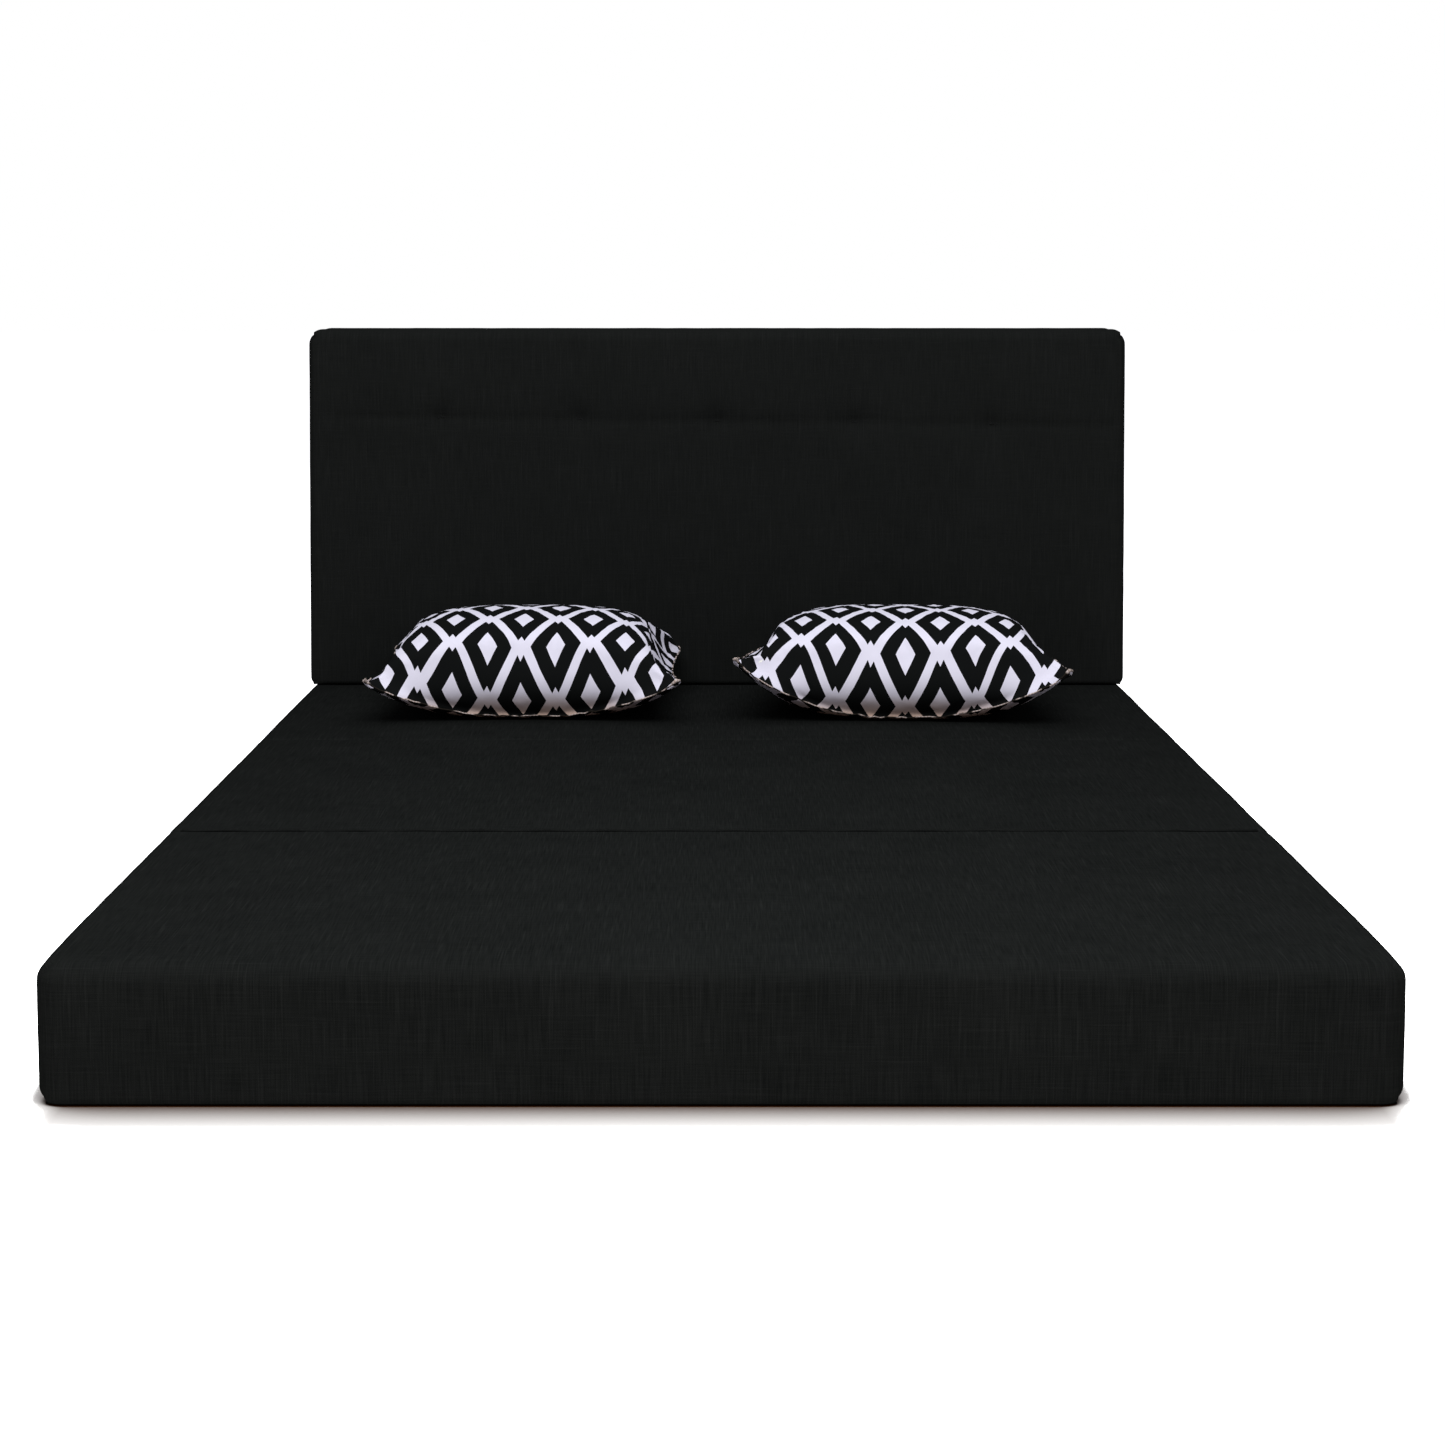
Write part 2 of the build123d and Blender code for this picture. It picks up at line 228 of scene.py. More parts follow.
class Block:
    """A soft box lying flat. low, high and side are its top edges' radii at y0, at y1 and along x."""

    def __init__(self, lo, hi, low, high, side, step):
        self.lo, self.hi = np.array(lo, float), np.array(hi, float)
        top = (low, high)
        foot = [END_FOOT_RADIUS if r == EDGE_RADIUS else BASE_RADIUS for r in top]
        plan = [PLAN_RADIUS if r == EDGE_RADIUS else max(r, FOLD_PLAN_RADIUS) for r in top]
        sides = [
            ticks(self.lo[0], self.hi[0], PLAN_RADIUS, PLAN_RADIUS, step),
            ticks(self.lo[1], self.hi[1], plan[0], plan[1], step),
            ticks(self.lo[2], self.hi[2], FOOT_RADIUS, EDGE_RADIUS, step),
        ]
        self.square, self.quads, self.uv = box_grid(sides)
        self.points = self.square.copy()
        x = ((self.lo[0], -1), (self.hi[0], 1))
        y = ((self.lo[1], -1), (self.hi[1], 1))
        z = ((self.lo[2], -1), (self.hi[2], 1))
        ends = [abs(self.square[:, 1] - place) for (place, _), r in zip(y, top) if r == EDGE_RADIUS]
        near_end = np.exp(-np.min([*ends, np.full(len(self.square), 1.0)], axis=0) / (45 * MM))
        upper = np.minimum(side + SIDE_SOFTENING * near_end, EDGE_RADIUS)
        for edge in x:
            round_edge(self.points, 0, 2, edge, z[0], FOOT_RADIUS)
            round_edge(self.points, 0, 2, edge, z[1], upper)
        for end in (0, 1):
            round_edge(self.points, 1, 2, y[end], z[0], foot[end])
            round_edge(self.points, 1, 2, y[end], z[1], top[end])
            for edge in x:
                round_edge(self.points, 0, 1, edge, y[end], plan[end])

    def relative(self):
        """Each point's place in the square box, from -1 to 1 along each axis."""
        middle, half = (self.lo + self.hi) / 2, (self.hi - self.lo) / 2
        return ((self.square - middle) / half).T

    def open_base(self, margin):
        """Leaves out the underside, apart from a hem of that width."""
        centre = self.square[self.quads].mean(axis=1)
        under = centre[:, 2] < self.lo[2] + 1e-6
        middle = (centre[:, :2] > self.lo[:2] + margin) & (centre[:, :2] < self.hi[:2] - margin)
        inside = np.all(middle, axis=1)
        keep = ~(under & inside)
        self.quads, self.uv = self.quads[keep], self.uv[keep]
        used, where = np.unique(self.quads, return_inverse=True)
        self.quads = where.reshape(-1, 4)
        self.points, self.square = self.points[used], self.square[used]

    def push(self, height):
        """Moves each point out along the surface by its height."""
        self.points += vertex_normals(self.points, self.quads) * height[:, None]


def panel_relief(block, crown, seed):
    """The slack and the crown of a foam panel's cover, which is flat under the backrest."""
    flat_from = BACK_BOX[0][1]
    x, y, z = block.relative()
    top = (z > 0.999) * (1 - x**4) * (1 - y**4)
    top *= 1 - smoothstep(block.square[:, 1], flat_from - 60 * MM, flat_from)
    sides = ((abs(x) > 0.999) | (abs(y) > 0.999)) * (1 - z**2)
    upper = smoothstep(z, -0.9, -0.2)
    swell = ripple(block.points, 0.16, seed) * 0.5 + ripple(block.points, 0.05, seed + 3) * 0.22
    edge = np.maximum(abs(x), abs(y)) ** 8
    pucker = ripple(block.points * (1, 1, 0.35), 0.028, seed + 5) * edge * 0.3
    return (crown * top + 0.2 * sides + (swell + pucker) * upper) * MM


def panel_block(name, inset, base, step):
    """A panel's soft form, drawn in by an inset, above its base."""
    lo, hi = PANEL_BOX[name]
    low = EDGE_RADIUS if name == "front" else FOLD_RADIUS
    high = EDGE_RADIUS if name == "rear" else FOLD_RADIUS
    block = Block(lo + (inset, inset, base), hi - inset, low, high, SIDE_RADIUS, step)
    if not inset:
        block.open_base(HEM)
    crown = 0.7 if name == "rear" else 2.0
    block.push(panel_relief(block, crown, PANELS.index(name) + 1))
    return block


def foam_core(name, block, place, material, body):
    """The foam block inside a cover, above the zip's placket."""
    core = add_mesh(f"{name}_foam", place(block.points), block.quads)
    core.data.materials.append(material)
    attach(core, body)
    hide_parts(f"{name}_foam_core")


def panel_cover(name, material, foam):
    """A panel's top cover, and the foam in it."""
    foam_core(name, panel_block(name, FOAM_INSET, CORE_BASE, 24 * MM), lying, foam, f"{name}_panel")
    block = panel_block(name, 0.0, 0.0, 12 * MM)
    block.points[:, 2] = np.maximum(block.points[:, 2], block.lo[2] + LIFT_OFF)
    cover = add_mesh(f"{name}_cover", block.points, block.quads, block.uv)
    solidify(cover, CLOTH)
    apply_modifiers(cover)
    cover.data.materials.append(material)
    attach(cover, f"{name}_panel")
    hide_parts(f"{name}_top_cover")


def lying(points):
    """A panel is made in its place, so its points stay as they are."""
    return points


def standing(points):
    """Turns the backrest, made lying on its back, up onto its place."""
    return np.stack([points[:, 0], BACK_BOX[1][1] - points[:, 2], BACK_BOX[0][2] + points[:, 1]], -1)


def stretches(places, counts):
    """Even points from each place to the next, so many in each stretch. Stretches share their ends."""
    runs = [np.linspace(a, b, count) for a, b, count in zip(places, places[1:], counts)]
    return np.concatenate([runs[0], *(run[1:] for run in runs[1:])])


def base_sheet(name, low, high, mouth, place, material, body, node):
    """The flat cloth under a block, from low to high, with a sunken placket round its zip's mouth."""
    (x0, y0), (x1, y1) = low, high
    (zx0, zy0), (zx1, zy1) = mouth
    xs = stretches((x0, zx0, zx1, x1), (6, 90, 6))
    rows = (y0, zy0, zy1, y1)
    ys = stretches(rows, [max(2, round((b - a) / (18 * MM)) + 1) for a, b in zip(rows, rows[1:])])
    gx, gy = np.meshgrid(xs, ys, indexing="ij")
    flat = np.stack([gx, gy, np.full_like(gx, BASE_SKIN)], -1).reshape(-1, 3)
    quads = grid_quads(len(xs), len(ys))[:, ::-1]
    centre = flat[quads].mean(axis=1)
    inside = (centre[:, 0] > zx0) & (centre[:, 0] < zx1) & (centre[:, 1] > zy0) & (centre[:, 1] < zy1)
    quads = quads[~inside]
    rim_x = xs[(xs >= zx0 - TINY) & (xs <= zx1 + TINY)]
    rim_y = ys[(ys >= zy0 - TINY) & (ys <= zy1 + TINY)]
    rim = [(x, zy0) for x in rim_x] + [(zx1, y) for y in rim_y[1:]]
    rim += [(x, zy1) for x in rim_x[::-1][1:]] + [(zx0, y) for y in rim_y[::-1][1:-1]]
    levels = np.linspace(BASE_SKIN, PLACKET_DEPTH, 4)
    well = np.array([[(x, y, z) for x, y in rim] for z in levels])
    wall = ring_quads(len(levels), len(rim))
    points = np.concatenate([flat, well.reshape(-1, 3)])
    quads = np.concatenate([quads, wall[:, ::-1] + len(flat)])
    uv = points[quads][..., :2] + points[quads][..., 2:] * (0, 1)
    points, quads = weld(points, quads)
    sheet = add_mesh(name, place(points), quads, uv)
    solidify(sheet, BASE_CLOTH)
    apply_modifiers(sheet)
    sheet.data.materials.append(material)
    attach(sheet, body)
    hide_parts(node)


def panel_base(name, material):
    lo, hi = PANEL_BOX[name]
    zip_lo, zip_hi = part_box(f"{name}_zip_chain")
    low, high = lo[:2] + BASE_INSET, hi[:2] - BASE_INSET
    spare = np.array((PLACKET_SPARE, 0))
    mouth = (zip_lo[:2] - spare, zip_hi[:2] + spare)
    base_sheet(f"{name}_base", low, high, mouth, lying, material, f"{name}_panel",
               f"{name}_base_cloth")


# ---- backrest
def seam_height(x):
    """The cross seam, which runs a little downhill to the right and dips between tufts."""
    bay = (x - TUFT_X[0]) / (TUFT_X[1] - TUFT_X[0])
    return TUFT_LINE - 0.012 * x - 1.5 * MM * np.sin(math.pi * bay) ** 2


def backrest_relief(block):
    """Two padded bands divided by the cross seam, with five tufts and their creases."""
    x, y = block.square[:, 0], block.square[:, 1]
    rx, ry, rz = block.relative()
    top = block.hi[1]
    seam = seam_height(x)
    away = y - seam
    band = np.where(away > 0, away / (top - seam), -away / seam)
    puff = 2.6 * np.sin(math.pi * np.clip(band, 0, 1) ** 0.62) * (1 - rx**6)
    seam_groove = 1.7 * np.exp(-abs(away) / (3.0 * MM)) + 0.9 * np.exp(-((away / (15 * MM)) ** 2))
    hollow = np.zeros_like(x)
    for i, tuft in enumerate(TUFT_X):
        dx, dy = x - tuft, y - seam_height(tuft)
        reach = np.hypot(dx, dy)
        pit = 5.2 * np.exp(-reach / (8 * MM)) + 3.2 * np.exp(-((reach / (24 * MM)) ** 2))
        turn = np.arctan2(dy, dx)
        folds = np.cos(7 * turn + 1.7 * i) * 0.9 * np.exp(-reach / (30 * MM))
        folds *= 1 - np.exp(-reach / (9 * MM))
        run = np.where(dy > 0, 0.088 + 0.012 * math.sin(2.1 * i), 0.082 + 0.014 * math.sin(1.3 * i + 1))
        lean = dx + 0.05 * dy * math.sin(1.9 * i + 0.6)
        fade = np.clip(1 - abs(dy) / run, 0, 1)
        crease = 3.0 * fade * np.exp(-abs(lean) / (4.0 * MM))
        crease += 0.8 * fade * np.exp(-((lean / (12 * MM)) ** 2))
        hollow += pit + folds + crease
    face = (rz > 0.999) * smoothstep(1 - np.maximum(abs(rx), abs(ry)), 0.0, 0.06)
    slack = ripple(block.points, 0.13, 11) * 1.1 + ripple(block.points, 0.045, 12) * 0.35
    sides = ((abs(rx) > 0.999) | (ry > 0.999)) * (1 - rz**2)
    spread = (abs(rx) > 0.999) * -2.6 * ry            # a little wider at the foot, where the foam bears
    wrinkle = 0.25 * ripple(block.points, 0.03, 13)
    bulge = sides * np.where(ry > 0.999, -1.0, 0.5)   # the upper side is drawn in
    return (face * (puff - seam_groove - hollow + slack) + bulge + spread + wrinkle) * MM


def backrest_block(inset, base, step):
    """The backrest's soft form lying on its back, drawn in by an inset, above its base."""
    width, (_, depth, rise) = BACK_BOX[1][0], BACK_BOX[1] - BACK_BOX[0]
    block = Block((inset - width, inset, base), (width - inset, rise - inset, depth - inset),
                  BACK_FOOT_RADIUS, EDGE_RADIUS, EDGE_RADIUS, step)
    if not inset:
        block.open_base(HEM)
    block.push(backrest_relief(block))
    block.points[:, 1] = np.maximum(block.points[:, 1], inset + LIFT_OFF)
    block.points[:, 2] = np.maximum(block.points[:, 2], base + LIFT_OFF)
    return block


def backrest_cover(material):
    block = backrest_block(0.0, 0.0, 6 * MM)
    cover = add_mesh("backrest_cover", standing(block.points), block.quads, block.uv)
    solidify(cover, CLOTH)
    apply_modifiers(cover)
    cover.data.materials.append(material)
    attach(cover, "backrest")
    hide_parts("backrest_front_cover")
    return cover


def backrest_filling(foam, wadding):
    """The foam core, and the soft layer on it that is pressed in like the cover."""
    behind = BACK_BOX[1][1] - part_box("backrest_wadding")[1][1]
    layer = backrest_block(FOAM_INSET, behind, 6 * MM)
    batting = add_mesh("backrest_batting", standing(layer.points), layer.quads)
    batting.data.materials.append(wadding)
    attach(batting, "backrest")
    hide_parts("backrest_wadding")
    core = backrest_block(FOAM_INSET + 1 * MM, CORE_BASE, 24 * MM)
    core.points[:, 2] = np.minimum(core.points[:, 2], behind)
    foam_core("backrest", core, standing, foam, "backrest")


def backrest_back(material):
    zip_lo, zip_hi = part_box("backrest_zip_chain")
    foot = BACK_BOX[0][2]
    low = np.array((BACK_BOX[0][0], 0)) + BASE_INSET
    high = np.array((BACK_BOX[1][0], BACK_BOX[1][2] - foot)) - BASE_INSET
    mouth = ((zip_lo[0] - PLACKET_SPARE, zip_lo[2] - foot),
             (zip_hi[0] + PLACKET_SPARE, zip_hi[2] - foot))
    base_sheet("backrest_back", low, high, mouth, standing, material, "backrest", "backrest_back_cover")


# ---- stitches
def stitch_row(name, starts, ends, lift, radius, material, body):
    """Short thread stitches, each an arched rod from a start to an end. lift is their outward arch."""
    starts, ends, lift = (np.asarray(v, float) for v in (starts, ends, lift))
    along = ends - starts
    along /= np.linalg.norm(along, axis=1, keepdims=True)
    up = lift / np.linalg.norm(lift, axis=-1, keepdims=True)
    side = np.cross(along, up)
    sections = ((0.0, 0.0, 0.35), (0.2, 0.8, 1.0), (0.5, 1.0, 1.1), (0.8, 0.8, 1.0), (1.0, 0.0, 0.35))
    rings = []
    for share, arch, girth in sections:
        centre = starts + (ends - starts) * share + lift * arch
        for k in range(6):
            turn = k * math.pi / 3
            rings.append(centre + radius * girth * (side * math.cos(turn) + up * math.sin(turn)))
    points = np.stack(rings, 1)
    count = len(sections)
    last = (count - 1) * 6
    caps = [(0, 3, 2, 1), (0, 5, 4, 3)]
    caps += [tuple(last + k for k in cap) for cap in ((0, 1, 2, 3), (0, 3, 4, 5))]
    quads = np.concatenate([ring_quads(count, 6), caps])
    all_quads = (quads[None] + (np.arange(len(starts)) * count * 6)[:, None, None]).reshape(-1, 4)
    row = add_mesh(name, points.reshape(-1, 3), all_quads)
    row.data.materials.append(material)
    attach(row, body)


def surface_height(cover, x, z):
    """How far forward a standing cover's front is at some places, from its nearest vertices."""
    points = np.array([v.co for v in cover.data.vertices])
    front = points[points[:, 1] < BACK_BOX[0][1] + 30 * MM]
    order = [np.argmin((front[:, 0] - a) ** 2 + (front[:, 2] - b) ** 2) for a, b in zip(x, z)]
    return front[order, 1]


def tuft_stitches(cover, material):
    """A short bar tack in each tuft, sewn with close-lying thread."""
    offsets = np.linspace(-5.5, 5.5, 9) * MM
    x = np.concatenate([tuft + offsets for tuft in TUFT_X])
    z = BACK_BOX[0][2] + np.repeat(seam_height(TUFT_X), len(offsets))
    y = surface_height(cover, x, z) - 0.2 * MM
    reach = np.resize([1.9, 2.3], len(x)) * MM
    starts = np.stack([x - 0.4 * MM, y, z - reach], -1)
    ends = np.stack([x + 0.4 * MM, y, z + reach], -1)
    stitch_row("tuft_stitches", starts, ends, (0, -0.7 * MM, 0), 0.55 * MM, material, "backrest")


# ---- fold strips
def strip_sheet(name, profile, width, material, node):
    """A band of cloth along X with the given (y, z) profile."""
    profile = np.array(profile)
    xs = np.linspace(-width / 2, width / 2, 100)
    gx = np.repeat(xs[:, None], len(profile), axis=1)
    waver = 0.25 * MM * np.sin(xs * 90)[:, None]
    points = np.stack([gx, profile[None, :, 0] + waver * 0.3, profile[None, :, 1] + waver], -1)
    run = running(np.hypot(*np.diff(profile, axis=0).T))
    quads = grid_quads(len(xs), len(profile))
    flat = np.stack([gx, np.repeat(run[None], len(xs), axis=0)], -1).reshape(-1, 2)
    strip = add_mesh(name, points.reshape(-1, 3), quads, flat[quads])
    solidify(strip, STRIP, 0.0)
    apply_modifiers(strip)
    strip.data.materials.append(material)
    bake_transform(strip)
    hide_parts(node)


def groove_profile(node, up):
    """The path of a strip down one fold edge, across the groove and up the other."""
    low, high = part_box(node)
    y, half = (low[1] + high[1]) / 2, (high[1] - low[1]) / 2
    depth = high[2] - low[2]
    turns = np.linspace(0, math.pi / 2, 7)
    arc = np.stack([-half + (half - 0.7 * MM) * np.sin(turns), depth * np.cos(turns)], -1)
    bottom = np.array([(0.0, -0.2 * MM)])
    path = np.concatenate([arc, bottom, arc[::-1] * (-1, 1)])
    base = low[2] if up > 0 else high[2]
    return [(y + a, base + up * (b + 0.5 * MM)) for a, b in path], y


def fold_strips(material):
    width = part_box("top_fold_strip")[1][0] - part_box("top_fold_strip")[0][0]
    for node, bodies, up in (
        ("top_fold_strip", ("front_panel", "mid_panel"), 1),
        ("bottom_fold_strip", ("mid_panel", "rear_panel"), -1),
    ):
        profile, y = groove_profile(node, up)
        strip_sheet(node + "_cloth", profile, width, material, node)
    low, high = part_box("backrest_strip")
    y, middle = (low[1] + high[1]) / 2, (low[2] + high[2]) / 2
    heights = np.linspace(low[2], high[2], 25)
    profile = [(y + 0.3 * MM * math.sin(9 * t), z) for t, z in enumerate(heights)]
    strip_sheet("backrest_strip_cloth", profile, high[0] - low[0],
                material, "backrest_strip")


# ---- cushions
CUSHION_CELLS = 64
CUSHION_CROWN = 128.0 * MM
CUSHION_HALF_DEPTH = 206.0 * MM
CUSHION_CLEARANCE = 3.0 * MM    # between a cushion and the backrest
FILL_FRAMES, FILL_PRESSURE = 20, 4.0
SEAM_WELT = 0.9 * MM            # radius of the turned edge along a cushion's seam
EAR = 2.6 * MM                  # and at its corners


def fullness(u):
    """How full a pillow is at a place from -1 to 1 across it."""
    return (1 - abs(u) ** 3.8) ** 0.95


class Cushion:
    """A soft square pillow on the seat.

    tips are its front corners' heights, left and right, and rear is its rear seam's, at the middle.
    tuck is how much narrower it is along the backrest, where its corners are pressed in.
    """

    def __init__(self, side, half_width, tips, rear, tuck, print_at):
        low, high = span(f"{side}_cushion_upper_cover", f"{side}_cushion_lower_cover")
        self.side, self.tips, self.rear, self.tuck, self.print_at = side, tips, rear, tuck, print_at
        self.centre = np.array(((low[0] + high[0]) / 2, (low[1] + high[1]) / 2, low[2]))
        self.rear_corner = 60 * MM + (rear - 60 * MM) * 0.6
        self.turn = CUSHION_TURN[side]
        self.half = np.array((half_width, CUSHION_HALF_DEPTH))

    def side_seam(self, u, share):
        """Height of the seam at the left or right side, from the front corner to the rear one."""
        tip = self.tips[0] if u < 0 else self.tips[1]
        return tip + (self.rear_corner - tip) * share - 8 * MM * math.sin(math.pi * share)

    def controls(self, u, upper):
        """Seven control points (y, z) of the section at u, from the front seam to the rear one."""
        b = self.half[1]
        tip = self.tips[0] if u < 0 else self.tips[1]
        seam_front = (72 * MM * (1 - u * u) - b, 8 * MM + (tip - 8 * MM) * abs(u) ** 2.4)
        seam_rear = (b - 26 * MM * (1 - u * u), self.rear + (self.rear_corner - self.rear) * u * u)
        full = fullness(u)
        if upper:
            top = CUSHION_CROWN / MM
            last = (196, max(100, self.rear / MM + 12))
            middle = ((-192, 28), (-192, top), (0, top), (100, top), last)
        else:
            middle = ((-90, 0), (-50, 0), (0, 0), (90, 0), (192, 0))
        points = [seam_front]
        for k, (y, z) in enumerate(middle, 1):
            share = k / 6
            edge = (-b + 2 * b * share, self.side_seam(u, share))
            points.append(tuple(e + (m * MM - e) * full for e, m in zip(edge, (y, z))))
        return np.array(points + [seam_rear])

    def across(self):
        """Places from -1 to 1 that lie evenly along the cloth from side to side, and its length."""
        u = np.linspace(-1, 1, 401)
        rise = (CUSHION_CROWN - self.tips[0]) * fullness(u)
        run = running(np.hypot(np.diff(u) * self.half[0], np.diff(rise)))
        return np.interp(np.linspace(0, run[-1], CUSHION_CELLS + 1), run, u), run[-1]

    def layers(self):
        """Grids of points on the upper and lower sheets, which share borders, and a sheet's size."""
        places, width = self.across()
        sheets, depth = [], 0.0
        for upper in (True, False):
            rows = []
            for u in places:
                section, length = even_curve(self.controls(u, upper), CUSHION_CELLS + 1)
                along = np.linspace(-1, 1, CUSHION_CELLS + 1)
                tuck = 1 - self.tuck * smoothstep(along, -0.3, 1.0)
                x = u * tuck * (self.half[0] - 15 * MM * (1 - along**2) * abs(u) ** 3)
                blunt = np.maximum((abs(u) ** 12 + abs(along) ** 12 + TINY) ** (1 / 12), 1)
                rows.append(np.column_stack([x / blunt, section[:, 0] / blunt, section[:, 1]]))
                depth = max(depth, length) if upper else depth
            sheets.append(np.array(rows))
        return sheets, (width, depth)


def even_curve(controls, count):
    """Even points along two cubic arcs that share their fourth control point, and their length."""
    t = np.linspace(0, 1, 60)[:, None]
    weights = ((1 - t) ** 3, 3 * t * (1 - t) ** 2, 3 * t**2 * (1 - t), t**3)
    arcs = [sum(weight * point for weight, point in zip(weights, controls[i : i + 4])) for i in (0, 3)]
    path = np.concatenate([arcs[0], arcs[1][1:]])
    run = running(np.linalg.norm(np.diff(path, axis=0), axis=1))
    even = np.linspace(0, run[-1], count)
    return np.stack([np.interp(even, run, path[:, k]) for k in (0, 1)], -1), run[-1]


def sew(sheets, size, print_at):
    """Joins two sheets along their borders: points, quads, cloth coordinates and the border in order."""
    count = sheets[0].shape[0]
    index = np.arange(count * count).reshape(count, count)
    inner = np.zeros((count, count), bool)
    inner[1:-1, 1:-1] = True
    below = index.copy()
    below[inner] = count * count + np.arange(inner.sum())
    points = np.concatenate([sheets[0].reshape(-1, 3), sheets[1][inner]])
    upper = grid_quads(count, count)
    quads = np.concatenate([upper, below.ravel()[upper][:, ::-1]])
    line = np.linspace(0, 1, count)
    flat = np.meshgrid((line - 0.5) * size[0], line * size[1], indexing="ij")
    flat = np.stack(flat, -1).reshape(-1, 2) - print_at
    uv = np.concatenate([flat[upper], flat[upper][:, ::-1] * (1, -1)])
    border = np.concatenate([index[0, :-1], index[:-1, -1], index[-1, :0:-1], index[:0:-1, 0]])
    return points, quads, uv, border


def inflate(obj, cap):
    """Fills a sewn cover by cloth simulation. cap is how far each point may move."""
    start = np.array([v.co for v in obj.data.vertices])
    fill = obj.modifiers.new("fill", "CLOTH")
    cloth = fill.settings
    cloth.quality = 6
    cloth.mass = 0.25
    cloth.tension_stiffness = cloth.compression_stiffness = 20
    cloth.shear_stiffness = 8
    cloth.bending_stiffness = 0.35
    cloth.shrink_min = -0.035
    cloth.use_pressure = True
    cloth.uniform_pressure_force = FILL_PRESSURE
    cloth.effector_weights.gravity = 0
    fill.collision_settings.use_collision = False
    fill.point_cache.frame_start, fill.point_cache.frame_end = 1, FILL_FRAMES
    for frame_number in range(1, FILL_FRAMES + 1):
        SCENE.frame_set(frame_number)
    apply_modifiers(obj)
    SCENE.frame_set(1)
    moved = np.array([v.co for v in obj.data.vertices]) - start
    length = np.linalg.norm(moved, axis=1, keepdims=True)
    points = start + moved * np.minimum(1, cap[:, None] / np.maximum(length, TINY))
    obj.data.vertices.foreach_set("co", points.ravel())


def welt(name, line, corners, material, body):
    """The turned edge along a closed seam, thicker at the corners."""
    ahead = np.roll(line, -1, axis=0) - np.roll(line, 1, axis=0)
    ahead /= np.linalg.norm(ahead, axis=1, keepdims=True)
    side = np.cross(ahead, (0, 0, 1))
    side /= np.linalg.norm(side, axis=1, keepdims=True)
    up = np.cross(side, ahead)
    near = np.min([np.linalg.norm(line - line[c], axis=1) for c in corners], axis=0)
    radius = SEAM_WELT + (EAR - SEAM_WELT) * np.exp(-((near / (9 * MM)) ** 2))
    turns = np.arange(8) * math.pi / 4
    rings = [
        line + radius[:, None] * (side * math.cos(turn) + up * math.sin(turn)) + side * SEAM_WELT
        for turn in turns
    ]
    points = np.stack(rings, 1)
    index = np.arange(len(line) * 8).reshape(len(line), 8)
    beside = np.roll(index, -1, axis=1)
    quads = np.stack([index, beside, np.roll(beside, -1, axis=0), np.roll(index, -1, axis=0)], -1)
    run = running(np.linalg.norm(np.diff(line, axis=0), axis=1))
    uv = np.stack([np.repeat(run[:, None], 8, 1), np.tile(turns * SEAM_WELT, (len(line), 1))], -1)
    quads = quads.reshape(-1, 4)
    edge = add_mesh(name, points.reshape(-1, 3), quads, uv.reshape(-1, 2)[quads])
    edge.data.materials.append(material)
    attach(edge, body)


def stuffing(points):
    """The filling's points and quads, kept clear of its sewn cover and of the flat corners."""
    count = CUSHION_CELLS + 1
    upper = points[: count * count].reshape(count, count, 3)
    lower = upper.copy()
    lower[1:-1, 1:-1] = points[count * count :].reshape(count - 2, count - 2, 3)
    upper, lower = upper[4:-4, 4:-4], lower[4:-4, 4:-4]
    middle, gap = (upper + lower) / 2, np.linalg.norm(upper - lower, axis=2, keepdims=True)
    share = np.clip((gap - 7 * MM) / np.maximum(gap, 1e-6), 0, 0.97)
    share[0], share[-1], share[:, 0], share[:, -1] = 0, 0, 0, 0
    sheets = [middle + (sheet - middle) * share for sheet in (upper, lower)]
    return sew(sheets, (1, 1), 0)[:2]


def make_cushion(pillow, seed, cover, edging, wadding):
    """A cushion: its filled cover, turned into its place, with its edge and its filling."""
    sheets, size = pillow.layers()
    points, quads, uv, border = sew(sheets, size, pillow.print_at)
    rng = np.random.default_rng(seed)
    points[:, 2] += rng.normal(0, 0.5 * MM, len(points))
    body = f"{pillow.side}_cushion"
    obj = add_mesh(body, points, quads, uv)
    cap = np.where(np.arange(len(points)) < sheets[0].shape[0] ** 2, 14 * MM, 3 * MM)
    cap[border] = 6 * MM
    inflate(obj, cap)
    points = np.array([v.co for v in obj.data.vertices])
    c, s = math.cos(pillow.turn), math.sin(pillow.turn)
    turn = np.array(((c, s, 0), (-s, c, 0), (0, 0, 1)))
    points[:, 2] = np.maximum(points[:, 2], 0.6 * MM)
    points[:, 1] = np.minimum(points[:, 1], BACK_BOX[0][1] - CUSHION_CLEARANCE - pillow.centre[1])
    points = points @ turn + pillow.centre
    obj.data.vertices.foreach_set("co", points.ravel())
    line = points[border]
    n = CUSHION_CELLS
    welt(f"{body}_edge", line, (0, n, 2 * n, 3 * n), edging, body)
    fill = add_mesh(f"{body}_wadding", *stuffing(points))
    fill.data.materials.append(wadding)
    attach(fill, body)
    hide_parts(f"{body}_filling")
    smooth = obj.modifiers.new("round", "SUBSURF")
    smooth.levels = smooth.render_levels = 1
    apply_modifiers(obj)
    obj.data.materials.append(cover)
    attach(obj, body)
    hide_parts(f"{body}_upper_cover", f"{body}_lower_cover")
